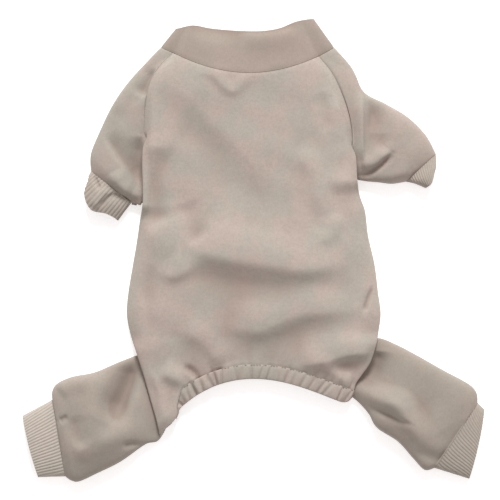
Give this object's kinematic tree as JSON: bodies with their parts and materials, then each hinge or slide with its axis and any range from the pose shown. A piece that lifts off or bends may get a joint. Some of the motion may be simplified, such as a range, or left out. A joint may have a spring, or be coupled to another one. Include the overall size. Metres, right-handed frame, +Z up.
{
  "type": "dog jumpsuit",
  "caption": "Knit jumpsuit for a small dog, laid flat with its back up: high collar, short sleeves, trouser legs, ribbed cuffs and a gathered tail opening.",
  "frame": {"origin": "middle of the footprint, on the surface that the jumpsuit lies on", "axes": "+X across the back, towards the sleeve named right; +Y along the back, towards the collar; +Z up from the surface"},
  "size_m": [0.3746, 0.3748, 0.0285],
  "materials": {
    "knit": "soft brushed knit",
    "collar_knit": "soft brushed knit",
    "rib_knit": "rib knit"
  },
  "bodies": {
    "root": {"back_panel": "knit", "belly_panel": "knit", "collar": "collar_knit", "sleeve_left": "knit", "sleeve_right": "knit", "sleeve_cuff_left": "rib_knit", "sleeve_cuff_right": "rib_knit", "leg_left": "knit", "leg_right": "knit", "leg_cuff_left": "rib_knit", "leg_cuff_right": "rib_knit", "tail_hem_casing": "knit"}
  },
  "joints": []
}
